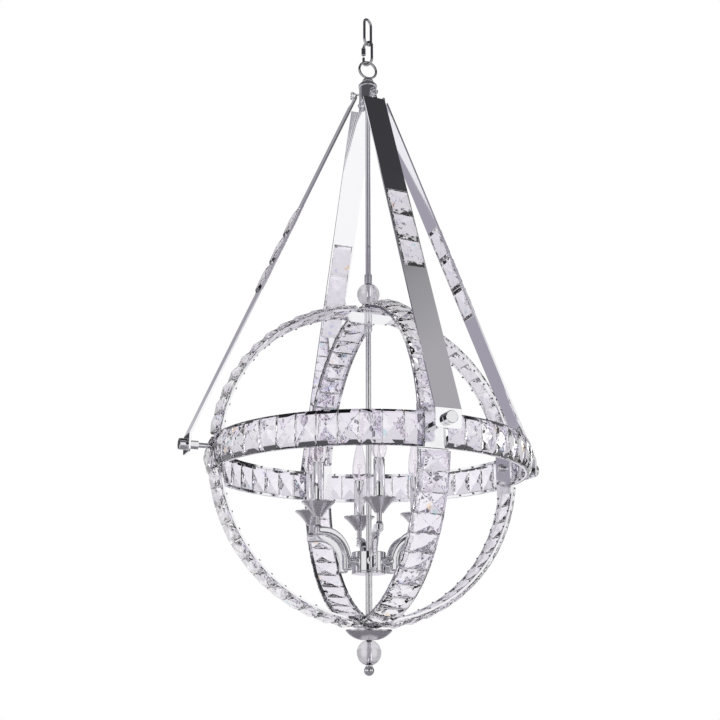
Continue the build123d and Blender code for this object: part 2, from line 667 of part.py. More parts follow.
def arm():
    """Bar that rises beside the drum, bends outward and runs level under its lamp."""
    half = ARM_DEPTH / 2
    bend_r = LEG_R + BEND_R
    bend_z = ARM_TOP_Z - half - BEND_R
    low_z = ARM_TOP_Z - ARM_DEPTH
    end_r = LAMP_R + FOOT_R
    outline = side_face(
        Polyline((LEG_R + half, bend_z), (LEG_R + half, DRUM_BASE_Z), (LEG_R - half, DRUM_BASE_Z),
                 (LEG_R - half, bend_z)),
        RadiusArc((LEG_R - half, bend_z), (bend_r, ARM_TOP_Z), BEND_R + half),
        Polyline((bend_r, ARM_TOP_Z), (end_r, ARM_TOP_Z), (end_r, low_z), (bend_r, low_z)),
        RadiusArc((bend_r, low_z), (LEG_R + half, bend_z), half - BEND_R),
    )
    bar = extrude(outline, ARM_WIDTH / 2, both=True)
    stub_z = DRUM_BASE_Z + DRUM_HEIGHT / 2
    stub = radial(STUB_D / 2, DRUM_R - DRUM_WALL, LEG_R, stub_z)
    return bar + stub - upright(DRUM_R, DRUM_BASE_Z, DRUM_TOP_Z)


def cup():
    """Trumpet cup with a foot on the arm and a shallow recess for the candle."""
    base_z = ARM_TOP_Z + CUP_NECK
    flare_z = base_z + CUP_HEIGHT
    inside_r = CUP_R - CUP_RIM
    return turned(
        Polyline((0, ARM_TOP_Z), (FOOT_R, ARM_TOP_Z), (NECK_R, ARM_TOP_Z + FOOT_HEIGHT), (NECK_R, base_z),
                 (CUP_BASE_R, base_z)),
        RadiusArc((CUP_BASE_R, base_z), (CUP_R, flare_z), CUP_CURVE),
        Polyline((CUP_R, flare_z), (CUP_R, CUP_TOP_Z), (inside_r, CUP_TOP_Z), (inside_r, CANDLE_Z),
                 (0, CANDLE_Z), (0, ARM_TOP_Z)),
    )


def bulb():
    """Clear candle bulb: a straight screw base and a flame-shaped glass."""
    base_z = CANDLE_TOP_Z - HOLDER_DROP - BULB_BASE
    glass_z = CANDLE_TOP_Z + SLIP
    belly_z = glass_z + BULB_BELLY
    tip_z = glass_z + BULB_LENGTH
    return turned(
        Polyline((BULB_TIP_R, tip_z), (0, tip_z), (0, base_z), (BULB_BASE_R, base_z),
                 (BULB_BASE_R, glass_z)),
        Spline((BULB_BASE_R, glass_z), (BULB_R, belly_z), (BULB_TIP_R, tip_z),
               tangents=[(1, BULB_FLARE), (-1, BULB_TAPER)]),
    )


def lamp_nodes():
    drum = upright(DRUM_R, DRUM_BASE_Z, DRUM_TOP_Z)
    drum = bored(drum, DRUM_R - DRUM_WALL, DRUM_BASE_Z, DRUM_TOP_Z - DRUM_TOP)
    drum = bored(drum, ROD_D / 2 + FIT, DRUM_BASE_Z, DRUM_TOP_Z)
    plate_z = DRUM_BASE_Z - DRUM_PLATE
    plate = bored(upright(DRUM_R, plate_z, DRUM_BASE_Z), LOWER_ROD_D / 2 + FIT, plate_z, DRUM_BASE_Z)
    tube = upright(CANDLE_D / 2, CANDLE_Z, CANDLE_TOP_Z)
    tube = bored(tube, CANDLE_D / 2 - CANDLE_WALL, CANDLE_Z, CANDLE_TOP_Z)
    holder = upright(HOLDER_R, CANDLE_Z, HOLDER_TOP_Z)
    holder = bored(holder, BULB_BASE_R + RUN_FIT, HOLDER_TOP_Z - SOCKET_DEPTH, HOLDER_TOP_Z)
    nodes = {
        "arm_hub": [drum],
        "arm_hub_plate": [plate],
        "lamp_cups": at_lamps(cup()),
        "candle_sleeves": at_lamps(tube),
        "lamp_holders": at_lamps(holder),
    }
    for number, angle in ARM_ANGLES.items():
        nodes[f"arm_{number}"] = [Rot(0, 0, angle) * arm()]
        nodes[f"bulb_{number}"] = [Rot(0, 0, angle) * Pos(LAMP_R, 0, 0) * bulb()]
    return nodes


def write_nodes(nodes):
    os.makedirs("parts", exist_ok=True)
    place = Pos(0, 0, -HANG_Z)
    for name, shapes in nodes.items():
        solids = [place * solid for shape in shapes for solid in shape.solids()]
        whole = solids[0] if len(solids) == 1 else Compound(children=solids)
        export_step(whole, f"parts/{name}.step")


chandelier = {**hub_nodes(), **strap_nodes(), **standoff_nodes()}
chandelier.update({**ring_nodes(), **axis_nodes(), **lamp_nodes()})
write_nodes(chandelier)
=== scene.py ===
# %% [markdown]
# # Dressing a crystal orb chandelier
#
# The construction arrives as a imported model: every rail, strap, link and lamp at its real size, in
# metres, with the hang point as origin. This lesson gives those pieces their looks: it softens edges,
# bends the arms, cuts the crystals, blows the bulbs and mixes the finishes. Nothing here moves or
# resizes the frame.

# %% Load the frame
import json
from math import atan2, cos, pi, radians, sin

import bpy
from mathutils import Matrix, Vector

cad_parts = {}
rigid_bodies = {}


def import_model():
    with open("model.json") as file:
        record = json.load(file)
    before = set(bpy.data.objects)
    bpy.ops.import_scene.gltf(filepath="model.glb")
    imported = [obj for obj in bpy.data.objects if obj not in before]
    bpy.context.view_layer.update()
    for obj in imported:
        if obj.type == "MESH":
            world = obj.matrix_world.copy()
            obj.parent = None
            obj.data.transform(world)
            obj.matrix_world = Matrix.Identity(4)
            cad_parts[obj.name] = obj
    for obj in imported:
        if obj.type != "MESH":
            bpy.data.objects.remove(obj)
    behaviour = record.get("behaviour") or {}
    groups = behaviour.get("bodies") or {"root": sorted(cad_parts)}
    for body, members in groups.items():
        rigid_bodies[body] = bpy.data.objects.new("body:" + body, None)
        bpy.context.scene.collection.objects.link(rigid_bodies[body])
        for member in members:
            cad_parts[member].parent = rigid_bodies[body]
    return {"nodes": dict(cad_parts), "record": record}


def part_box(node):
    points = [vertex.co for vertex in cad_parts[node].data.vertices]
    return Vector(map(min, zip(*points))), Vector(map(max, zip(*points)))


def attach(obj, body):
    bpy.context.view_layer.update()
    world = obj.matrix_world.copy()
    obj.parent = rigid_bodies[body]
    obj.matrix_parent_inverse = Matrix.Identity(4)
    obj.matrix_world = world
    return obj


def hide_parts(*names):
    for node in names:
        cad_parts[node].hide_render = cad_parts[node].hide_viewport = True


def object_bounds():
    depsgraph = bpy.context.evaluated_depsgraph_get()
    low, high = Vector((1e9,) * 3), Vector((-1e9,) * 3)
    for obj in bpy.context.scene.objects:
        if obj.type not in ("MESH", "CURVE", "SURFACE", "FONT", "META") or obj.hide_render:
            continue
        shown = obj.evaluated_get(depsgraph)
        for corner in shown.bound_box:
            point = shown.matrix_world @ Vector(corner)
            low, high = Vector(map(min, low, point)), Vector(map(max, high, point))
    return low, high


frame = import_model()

NODES = frame["nodes"]
RECORD = frame["record"]
BODY_OF = {node: body for body, nodes in RECORD["behaviour"]["bodies"].items() for node in nodes}
SLOT_OF = {part["node"]: part["material_slot"] for part in RECORD["subparts"]}
CAD_BOX = [list(corner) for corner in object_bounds()]
print("nodes:", len(NODES), "box:", CAD_BOX)

# %% [markdown]
# ## The camera
#
# The photograph was taken from below the level ring, with the front strap to the right of the middle.
# A lens can be guessed by eye, but three rings seen at once fix it well: their ellipses give the
# distance, the tilt and the focal length together. The camera stands at that place.

# %% Place the camera
IMAGE_WIDTH = 720
FOCAL_PIXELS = 1085
SENSOR = 36.0
CAMERA_DISTANCE = 1.6713
CAMERA_DROP = 0.3282
CAMERA_BEARING = radians(21.615)
CAMERA_HEADING = radians(21.153)
CAMERA_TILT = radians(16.48)

ring_low, ring_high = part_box("level_ring_frame")
RING_Z = (ring_low[2] + ring_high[2]) / 2
bpy.ops.object.camera_add(
    location=(
        -CAMERA_DISTANCE * sin(CAMERA_BEARING),
        -CAMERA_DISTANCE * cos(CAMERA_BEARING),
        RING_Z - CAMERA_DROP,
    ),
    rotation=(pi / 2 + CAMERA_TILT, 0, -CAMERA_HEADING),
)
camera = bpy.context.object
camera.data.sensor_width = SENSOR
camera.data.lens = SENSOR * FOCAL_PIXELS / IMAGE_WIDTH
bpy.context.scene.camera = camera
bpy.context.scene.view_settings.view_transform = "Standard"
print("camera at", tuple(round(v, 3) for v in camera.location), "lens", round(camera.data.lens, 1))

# %% [markdown]
# ## The studio
#
# Chrome and crystal have hardly any colour of their own: what they show is the room. Lamps alone would
# leave a few bright spots on black metal, so the room is built like a photographer's tent, in strips.
# Its walls are white, with dark panels that draw the dark edges on polished metal. The panels end a
# little above and below eye level, so that the straps stay bright from other sides. The ceiling gets
# darker upward and has one dim window in front. The picture's own ground stays plain white.

# %% Helpers for nodes
def new_tree(owner):
    """Empty node tree of a material or the world."""
    owner.use_nodes = True
    owner.node_tree.nodes.clear()
    return owner.node_tree


def add_node(tree, kind, settings=None, **values):
    """Node of a kind with its settings and unlinked inputs; _ in an input's name stands for a space."""
    node = tree.nodes.new(kind)
    for key, value in (settings or {}).items():
        setattr(node, key, value)
    for key, value in values.items():
        node.inputs[key.replace("_", " ")].default_value = value
    return node


def ramp(tree, stops):
    """Colour ramp with its stops as (position, colour)."""
    node = tree.nodes.new("ShaderNodeValToRGB")
    elements = node.color_ramp.elements
    while len(elements) < len(stops):
        elements.new(1.0)
    for element, (position, colour) in zip(elements, stops):
        element.position = position
        element.color = (*colour, 1.0)
    return node


def chain(tree, *nodes):
    """Links the first output of each node to the first input of the next."""
    for start, end in zip(nodes, nodes[1:]):
        tree.links.new(start.outputs[0], end.inputs[0])


# %% Choose the colours of the room
WHITE = (1.0, 1.0, 1.0)
PALE = (0.9, 0.88, 0.92)
LAVENDER = (0.8, 0.77, 0.84)
GREY = (0.37, 0.35, 0.41)
WINDOW = (0.41, 0.4, 0.42)
DIM = (0.3, 0.3, 0.31)
SHADE = (0.22, 0.21, 0.25)
HAZE = (0.1, 0.1, 0.108)
DARK = (0.05, 0.05, 0.055)
BLACK = (0.03, 0.03, 0.033)
print("from", WHITE, "to", BLACK)

# %% Choose the strips of the room
def by_height(*stops):
    """Ramp stops of colours at elevations in degrees."""
    return [((sin(radians(elevation)) + 1) / 2, colour) for elevation, colour in stops]


def by_bearing(left, right):
    """Ramp stops of colours at bearings in degrees to the camera's left and to its right."""
    before = [((180 - bearing) / 360, colour) for bearing, colour in reversed(left)]
    return before + [((180 + bearing) / 360, colour) for bearing, colour in right]


NEAR_WALLS = [
    (15, BLACK), (19, WHITE), (51, WHITE), (54, BLACK), (60, BLACK), (63, WHITE), (96, WHITE),
]
LEFT_PANEL = [(101, GREY), (135, GREY), (139, BLACK)]
RIGHT_PANEL = [(101, BLACK)]
FAR_WALLS = [(146, BLACK), (157, WHITE), (165, WHITE), (173, LAVENDER)]
WALLS = by_bearing(NEAR_WALLS + LEFT_PANEL + FAR_WALLS, NEAR_WALLS + RIGHT_PANEL + FAR_WALLS)
FRONT = by_height(
    (-60, PALE), (-15, WHITE), (15, WHITE), (21, GREY), (26, SHADE), (29, HAZE), (43, HAZE),
    (50, WINDOW), (56, WINDOW), (60, DIM), (63, DARK), (85, BLACK),
)
BACK = by_height(
    (-60, PALE), (-10, WHITE), (10, WHITE), (20, GREY), (45, DIM), (62, DARK), (85, BLACK),
)
print("stops on the walls:", len(WALLS), "in front:", len(FRONT), "behind:", len(BACK))

# %% Shade the room by height
world = bpy.data.worlds.new("studio_room")
bpy.context.scene.world = world
tree = new_tree(world)
direction = add_node(tree, "ShaderNodeTexCoord").outputs["Generated"]
height = add_node(tree, "ShaderNodeSeparateXYZ")
rise = add_node(tree, "ShaderNodeMapRange", From_Min=-1.0)
front = ramp(tree, FRONT)
back = ramp(tree, BACK)
tree.links.new(direction, height.inputs[0])
tree.links.new(height.outputs["Z"], rise.inputs[0])
chain(tree, rise, front)
chain(tree, rise, back)
print("nodes for the height:", len(tree.nodes))

# %% Paint the walls by bearing
turn = add_node(tree, "ShaderNodeVectorRotate", {"rotation_type": "Z_AXIS"}, Angle=CAMERA_BEARING)
flat = add_node(tree, "ShaderNodeSeparateXYZ")
backward = add_node(tree, "ShaderNodeMath", {"operation": "MULTIPLY"})
backward.inputs[1].default_value = -1.0
angle = add_node(tree, "ShaderNodeMath", {"operation": "ARCTAN2"})
share = add_node(tree, "ShaderNodeMapRange", From_Min=-pi, From_Max=pi)
walls = ramp(tree, WALLS)
tree.links.new(direction, turn.inputs["Vector"])
chain(tree, turn, flat, angle, share, walls)
tree.links.new(flat.outputs["Y"], backward.inputs[0])
tree.links.new(backward.outputs[0], angle.inputs[1])
print("nodes with the walls:", len(tree.nodes))

# %% End the panels above and below
PANEL_TOP = (radians(20), radians(27))
PANEL_FOOT = (radians(-17), radians(-11))
# Places of the colour sockets on a Mix node
MIX_A, MIX_B, MIX_RESULT = 6, 7, 2

over = add_node(tree, "ShaderNodeMapRange", From_Min=sin(PANEL_TOP[0]), From_Max=sin(PANEL_TOP[1]))
under = add_node(tree, "ShaderNodeMapRange", From_Min=sin(PANEL_FOOT[1]), From_Max=sin(PANEL_FOOT[0]))
clear = add_node(tree, "ShaderNodeMath", {"operation": "MAXIMUM"})
panels = add_node(tree, "ShaderNodeMix", {"data_type": "RGBA"})
panels.inputs[MIX_B].default_value = (*WHITE, 1.0)
tree.links.new(height.outputs["Z"], over.inputs[0])
tree.links.new(height.outputs["Z"], under.inputs[0])
tree.links.new(under.outputs[0], clear.inputs[1])
chain(tree, over, clear, panels)
tree.links.new(walls.outputs[0], panels.inputs[MIX_A])
print("nodes with the panels' ends:", len(tree.nodes))

# %% Join the front and the back of the room
BACK_FROM = radians(80)
BACK_FULL = radians(105)

away = add_node(tree, "ShaderNodeMath", {"operation": "ABSOLUTE"})
behind = add_node(tree, "ShaderNodeMapRange", From_Min=BACK_FROM, From_Max=BACK_FULL)
half = add_node(tree, "ShaderNodeMix", {"data_type": "RGBA"})
both = add_node(tree, "ShaderNodeVectorMath", {"operation": "MULTIPLY"})
room = add_node(tree, "ShaderNodeBackground")
chain(tree, angle, away, behind, half)
tree.links.new(front.outputs[0], half.inputs[MIX_A])
tree.links.new(back.outputs[0], half.inputs[MIX_B])
tree.links.new(half.outputs[MIX_RESULT], both.inputs[0])
tree.links.new(panels.outputs[MIX_RESULT], both.inputs[1])
chain(tree, both, room)
print("nodes of the room:", len(tree.nodes))

# %% Keep the picture's ground white
CLEAR_SHARE = 0.65

ground = add_node(tree, "ShaderNodeBackground", Color=(*WHITE, 1.0))
sight = add_node(tree, "ShaderNodeLightPath")
through = add_node(tree, "ShaderNodeMath", {"operation": "MULTIPLY_ADD"})
through.inputs[1].default_value = CLEAR_SHARE
choice = add_node(tree, "ShaderNodeMixShader")
tree.links.new(sight.outputs["Is Transmission Ray"], through.inputs[0])
tree.links.new(sight.outputs["Is Camera Ray"], through.inputs[2])
chain(tree, through, choice)
tree.links.new(room.outputs[0], choice.inputs[1])
tree.links.new(ground.outputs[0], choice.inputs[2])
chain(tree, choice, add_node(tree, "ShaderNodeOutputWorld"))
print("world nodes:", len(tree.nodes))

# %% [markdown]
# ## The floor
#
# The chandelier hangs in the air, and the floor below it is only there to catch a soft shadow. A large
# plane would end in a hard horizon, so the floor is a pale disc that fades out towards its rim. Lit
# only by this room it would look grey, so most of what the camera sees of it is an even pale glow.
# Glass looks straight through it.

# %% Lay the floor
FLOOR_DROP = 0.12
FLOOR_R = 1.3
FLOOR_SIDES = 96

bpy.ops.object.select_all(action="DESELECT")
bpy.ops.mesh.primitive_circle_add(
    vertices=FLOOR_SIDES, radius=FLOOR_R, fill_type="NGON",
    location=(0, 0, CAD_BOX[0][2] - FLOOR_DROP),
)
floor = bpy.context.object
floor.name = "studio_floor"
print("floor at", round(floor.location.z, 3), "radius", FLOOR_R)

# %% Paint the floor
FADE_FROM = 0.35
FLOOR_GLOW = 0.75

floor_paint = bpy.data.materials.new("floor_paint")
floor.data.materials.append(floor_paint)
tree = new_tree(floor_paint)
place = add_node(tree, "ShaderNodeTexCoord").outputs["Object"]
reach = add_node(tree, "ShaderNodeVectorMath", {"operation": "LENGTH"})
fade = add_node(tree, "ShaderNodeMapRange", From_Min=FADE_FROM, From_Max=FLOOR_R)
sight = add_node(tree, "ShaderNodeLightPath")
gone = add_node(tree, "ShaderNodeMath", {"operation": "MAXIMUM"})
paint = add_node(tree, "ShaderNodeBsdfDiffuse", Color=(*PALE, 1.0))
glow = add_node(tree, "ShaderNodeEmission", Color=(*PALE, 1.0))
lit = add_node(tree, "ShaderNodeMath", {"operation": "MULTIPLY"})
lit.inputs[1].default_value = FLOOR_GLOW
pale = add_node(tree, "ShaderNodeMixShader")
mix = add_node(tree, "ShaderNodeMixShader")
tree.links.new(place, reach.inputs[0])
tree.links.new(reach.outputs["Value"], fade.inputs[0])
tree.links.new(sight.outputs["Is Transmission Ray"], gone.inputs[1])
tree.links.new(sight.outputs["Is Camera Ray"], lit.inputs[0])
chain(tree, lit, pale)
tree.links.new(paint.outputs[0], pale.inputs[1])
tree.links.new(glow.outputs[0], pale.inputs[2])
tree.links.new(pale.outputs[0], mix.inputs[1])
tree.links.new(add_node(tree, "ShaderNodeBsdfTransparent").outputs[0], mix.inputs[2])
chain(tree, fade, gone, mix, add_node(tree, "ShaderNodeOutputMaterial"))
print("floor paint nodes:", len(tree.nodes))

# %% [markdown]
# ## The soft boxes
#
# The room gives the metal its streaks. The white sockets, the dark screws and the shadow on the floor
# also need light from one side, and two weak soft boxes give it, as in a studio. A bare lamp would do,
# but its shadow would be hard. The boxes would show as white rectangles in the chrome, so reflections
# leave them out.

# %% Hang two soft boxes
MIDDLE = Vector((0, 0, RING_Z))


def soft_box(name, location, width, height, power):
    """Area lamp that faces the middle of the globe."""
    bpy.ops.object.light_add(type="AREA", location=location)
    lamp = bpy.context.object
    lamp.name = name
    lamp.rotation_euler = (MIDDLE - lamp.location).to_track_quat("-Z", "Y").to_euler()
    lamp.data.shape = "RECTANGLE"
    lamp.data.size = width
    lamp.data.size_y = height
    lamp.data.energy = power
    lamp.visible_glossy = False
    print(name, "power", power)


soft_box("key_box", location=(-2.2, -1.4, 0.5), width=1.4, height=1.0, power=9.0)
soft_box("fill_box", location=(2.4, -0.6, -0.2), width=0.8, height=1.6, power=6.0)

# %% [markdown]
# ## Polished chrome
#
# A perfect mirror looks like a computer drawing. Real plating is a little uneven: buffing leaves haze
# that comes and goes, and thin bar is never quite flat, so reflections waver. A painted map could hold
# both, but noise on the piece's own coordinates does it at any size: one cloud drives the roughness and
# a slower one a very low bump.

# %% Mix the metals
CLOUD_SCALE = 45.0
CLOUD_DETAIL = 4.0
CLOUD_RANGE = (0.35, 0.7)
SIZE_TO_DEPTH = 20


def metal(name, colour, haze, wave, wave_size, metallic=1.0):
    """Polished surface whose haze runs between two roughness values and which wavers a little."""
    material = bpy.data.materials.new(name)
    tree = new_tree(material)
    place = add_node(tree, "ShaderNodeTexCoord").outputs["Object"]
    cloud = add_node(tree, "ShaderNodeTexNoise", Scale=CLOUD_SCALE, Detail=CLOUD_DETAIL)
    rough = add_node(
        tree, "ShaderNodeMapRange",
        From_Min=CLOUD_RANGE[0], From_Max=CLOUD_RANGE[1], To_Min=haze[0], To_Max=haze[1],
    )
    swell = add_node(tree, "ShaderNodeTexNoise", Scale=1.0 / wave_size, Detail=1.0)
    bump = add_node(tree, "ShaderNodeBump", Strength=wave, Distance=wave_size / SIZE_TO_DEPTH)
    shader = add_node(tree, "ShaderNodeBsdfPrincipled", Base_Color=(*colour, 1.0), Metallic=metallic)
    tree.links.new(place, cloud.inputs["Vector"])
    tree.links.new(place, swell.inputs["Vector"])
    chain(tree, cloud, rough)
    tree.links.new(rough.outputs[0], shader.inputs["Roughness"])
    tree.links.new(swell.outputs[0], bump.inputs["Height"])
    tree.links.new(bump.outputs[0], shader.inputs["Normal"])
    chain(tree, shader, add_node(tree, "ShaderNodeOutputMaterial"))
    print("metal:", name)
    return material


# %% Mix one metal for each kind of piece
CHROME = metal("polished_chrome", (0.78, 0.78, 0.8), haze=(0.01, 0.035), wave=0.03, wave_size=0.03)
# The links' chrome is given a darker colour, as a painted dark reflection.
LINK_CHROME_PAINTED_DARK = metal("link_chrome_painted_dark", (0.4, 0.4, 0.42), haze=(0.08, 0.2), wave=0.1, wave_size=0.01)
SATIN_CHROME = metal("satin_chrome", (0.66, 0.65, 0.68), haze=(0.2, 0.34), wave=0.05, wave_size=0.01)
STRAP_CHROME = metal(
    "strap_chrome_flat", (0.94, 0.94, 0.96), haze=(0.03, 0.08), wave=0.04, wave_size=0.08,
)
RING_CHROME = metal("rail_chrome", (0.9, 0.9, 0.92), haze=(0.05, 0.14), wave=0.05, wave_size=0.02)
SCREW_STEEL = metal(
    "dark_screw_steel", (0.22, 0.22, 0.24), haze=(0.25, 0.45), wave=0.2, wave_size=0.002,
)
SOCKET = metal(
    "socket_white", (0.8, 0.8, 0.78), haze=(0.4, 0.6), wave=0.1, wave_size=0.003, metallic=0.0,
)

# %% [markdown]
# ## Cut crystal
#
# Cut crystal is a heavy glass, and it glitters because it is cut in many small facets that lean every
# way. The frame's blocks have the main facets. Cutting each small one as geometry would be slow, so the
# glass does it: a pattern of cells covers the block, and each cell leans the surface by its own small
# amount. A few cells also get an orange, teal or blue tint: painted glints of the colours that cut
# glass splits from the light.

# %% Mix the crystal
FACET = 0.007
CRYSTAL_INDEX = 1.54
# Painted glints: rare cells tinted orange, teal or blue, standing in for light split into colours.
PAINTED_GLINT_TINTS = [
    (0.0, WHITE),
    (0.985, (1.0, 0.75, 0.45)),
    (0.99, (0.55, 0.85, 0.87)),
    (0.994, (0.62, 0.66, 0.95)),
    (0.997, WHITE),
]


def crystal(name, colour, lean):
    """Clear heavy glass with a tint and rare painted glints of colour, cut in cells that each lean the
    surface by up to a share.
    """
    material = bpy.data.materials.new(name)
    tree = new_tree(material)
    place = add_node(tree, "ShaderNodeTexCoord").outputs["Object"]
    cells = add_node(tree, "ShaderNodeTexVoronoi", Scale=1.0 / FACET)
    tilt = add_node(tree, "ShaderNodeVectorMath", {"operation": "MULTIPLY_ADD"})
    tilt.inputs[1].default_value = (2 * lean, 2 * lean, 2 * lean)
    tilt.inputs[2].default_value = (-lean, -lean, -lean)
    surface = add_node(tree, "ShaderNodeNewGeometry").outputs["Normal"]
    leaned = add_node(tree, "ShaderNodeVectorMath", {"operation": "ADD"})
    facing = add_node(tree, "ShaderNodeVectorMath", {"operation": "NORMALIZE"})
    chance = add_node(tree, "ShaderNodeSeparateColor")
    painted_glints = ramp(tree, PAINTED_GLINT_TINTS)
    painted_glints.color_ramp.interpolation = "CONSTANT"
    tint = add_node(tree, "ShaderNodeVectorMath", {"operation": "MULTIPLY"})
    tint.inputs[1].default_value = colour
    shader = add_node(
        tree, "ShaderNodeBsdfPrincipled", Roughness=0.0, IOR=CRYSTAL_INDEX, Transmission_Weight=1.0
    )
    tree.links.new(place, cells.inputs["Vector"])
    tree.links.new(cells.outputs["Color"], tilt.inputs[0])
    tree.links.new(surface, leaned.inputs[1])
    chain(tree, tilt, leaned, facing)
    tree.links.new(facing.outputs[0], shader.inputs["Normal"])
    tree.links.new(cells.outputs["Color"], chance.inputs[0])
    chain(tree, chance, painted_glints, tint, shader, add_node(tree, "ShaderNodeOutputMaterial"))
    print("crystal:", name)
    return material


# %% Mix a clear crystal and one with a painted lavender shade for the backs
CRYSTAL_CLEAR = crystal("crystal_clear", (0.96, 0.95, 0.97), lean=0.03)
# The backs' deeper lavender tint is painted shade; the blocks are one glass all through.
CRYSTAL_BACK_PAINTED_LAVENDER = crystal("crystal_back_painted_lavender_shade", (0.88, 0.83, 0.93), lean=0.07)

# %% [markdown]
# ## Painted dark reflections on the ends
#
# On the level ring, the sloping ends of some blocks flash dark, because their facets throw the ceiling
# back instead of letting the wall through. Tracing that would need many more cuts, so those ends take a
# mix of their own, a painted dark reflection: larger cells decide by chance which end stays clear and
# which is a dark mirror.

# %% Paint a dark reflection on some of the ends
END_CELL = 0.018
END_HAZE = 0.03
DARK_REFLECTION_SHARE = 0.58


def painted_dark_end(name, glass_colour, painted_dark_colour):
    """Crystal end that is clear on some blocks and carries a painted dark reflection, as a dark mirror,
    on others.
    """
    material = bpy.data.materials.new(name)
    tree = new_tree(material)
    place = add_node(tree, "ShaderNodeTexCoord").outputs["Object"]
    cells = add_node(tree, "ShaderNodeTexVoronoi", Scale=1.0 / END_CELL)
    chance = add_node(tree, "ShaderNodeSeparateColor")
    mirror = add_node(tree, "ShaderNodeMath", {"operation": "GREATER_THAN"})
    mirror.inputs[1].default_value = DARK_REFLECTION_SHARE
    colour = ramp(tree, [(0.0, glass_colour), (DARK_REFLECTION_SHARE, painted_dark_colour)])
    colour.color_ramp.interpolation = "CONSTANT"
    shader = add_node(
        tree, "ShaderNodeBsdfPrincipled", Roughness=END_HAZE, IOR=CRYSTAL_INDEX, Transmission_Weight=1.0
    )
    tree.links.new(place, cells.inputs["Vector"])
    tree.links.new(cells.outputs["Color"], chance.inputs[0])
    chain(tree, chance, mirror)
    tree.links.new(mirror.outputs[0], shader.inputs["Metallic"])
    chain(tree, chance, colour, shader, add_node(tree, "ShaderNodeOutputMaterial"))
    print("crystal:", name)
    return material


# The dark colour on the level ring's ends is a painted reflection of the dark ceiling.
CRYSTAL_END_PAINTED_DARK = painted_dark_end("crystal_end_painted_dark_reflection", (0.95, 0.93, 0.97), (0.2, 0.2, 0.21))

# %% [markdown]
# ## Lamp glass
#
# The bulbs and the two balls are clear glass with no cuts, and the balls also carry a grey tint that is
# painted shade. Perfectly clean glass looks drawn, and real glass carries a faint haze in patches from
# dust and fingers. As on the chrome, noise on the piece's coordinates drives the roughness, which needs
# no painted map.

# %% Mix the lamp glass
DUST_SCALE = 70.0
DUST_DETAIL = 3.0
DUST_RANGE = (0.45, 0.75)


def glass(name, colour, index, haze):
    """Clear glass with a tint and a faint, uneven haze from handling."""
    material = bpy.data.materials.new(name)
    tree = new_tree(material)
    place = add_node(tree, "ShaderNodeTexCoord").outputs["Object"]
    cloud = add_node(tree, "ShaderNodeTexNoise", Scale=DUST_SCALE, Detail=DUST_DETAIL)
    rough = add_node(
        tree, "ShaderNodeMapRange", From_Min=DUST_RANGE[0], From_Max=DUST_RANGE[1], To_Max=haze
    )
    shader = add_node(
        tree, "ShaderNodeBsdfPrincipled", Base_Color=(*colour, 1.0), IOR=index, Transmission_Weight=1.0
    )
    tree.links.new(place, cloud.inputs["Vector"])
    chain(tree, cloud, rough)
    tree.links.new(rough.outputs[0], shader.inputs["Roughness"])
    chain(tree, shader, add_node(tree, "ShaderNodeOutputMaterial"))
    print("glass:", name)
    return material


BULB_GLASS = glass("bulb_glass", (0.975, 0.955, 0.98), index=1.45, haze=0.04)
# The balls' grey tint is painted shade, darker than the glass itself.
BALL_GLASS_PAINTED_GREY = glass("ball_glass_painted_grey", (0.7, 0.685, 0.72), index=1.52, haze=0.02)

# %% [markdown]
# ## Copying pieces to soften them
#
# The frame's pieces have knife-sharp edges. Each piece could be modelled again, but its place and shape
# are right already. So a copy is cleaned up and its edges are rounded a little, because a rounded edge
# catches a thin line of light, and that line is what tells the eye that a thing is made of metal.

# %% Helpers for copies
MERGE_WITHIN = 1e-6
FLAT_WITHIN = radians(0.5)


def copy_of(source, name):
    """Copy of an object with a mesh of its own, the only one selected."""
    bpy.ops.object.select_all(action="DESELECT")
    source.select_set(True)
    bpy.context.view_layer.objects.active = source
    bpy.ops.object.duplicate()
    piece = bpy.context.object
    piece.name = name
    piece.data.name = name
    return piece


def copied(node, name):
    """Merged copy of a frame piece, free to be shaped."""
    piece = copy_of(NODES[node], name)
    bpy.ops.object.parent_clear(type="CLEAR_KEEP_TRANSFORM")
    piece.data.materials.clear()
    bpy.ops.object.mode_set(mode="EDIT")
    bpy.ops.mesh.select_all(action="SELECT")
    bpy.ops.mesh.remove_doubles(threshold=MERGE_WITHIN)
    bpy.ops.mesh.customdata_custom_splitnormals_clear()
    bpy.ops.mesh.dissolve_limited(angle_limit=FLAT_WITHIN)
    bpy.ops.object.mode_set(mode="OBJECT")
    return piece


# %% Helpers for finishing a piece
def rounded(piece, width, segments=3, edge_angle=20.0):
    """Rounds every edge of a piece that turns by more than an angle in degrees."""
    soft = piece.modifiers.new("soft_edges", "BEVEL")
    soft.width = width
    soft.segments = segments
    soft.limit_method = "ANGLE"
    soft.angle_limit = radians(edge_angle)
    bpy.ops.object.modifier_apply(modifier=soft.name)


def seat(piece, node):
    """A finished piece takes the place of its frame piece, with its body and finish."""
    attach(piece, BODY_OF[node])
    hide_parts(node)


# %% Soften the metal pieces
MM = 0.001
FINISHES = {
    "chrome": CHROME, "strap_chrome": STRAP_CHROME, "ring_chrome": RING_CHROME,
    "screw_steel": SCREW_STEEL, "crystal": BALL_GLASS_PAINTED_GREY, "bulb_glass": BULB_GLASS, "socket": SOCKET,
}
SOFT_EDGES = {
    "hub_cap": 0.8 * MM, "hub_body": 0.6 * MM, "loop_collar": 0.5 * MM,
    "arm_hub": 1.2 * MM, "arm_hub_plate": 0.8 * MM,
    "strap_1": 0.5 * MM, "strap_2": 0.5 * MM, "strap_3": 0.5 * MM, "strap_4": 0.5 * MM,
}
SMOOTH_WITHIN = radians(40)


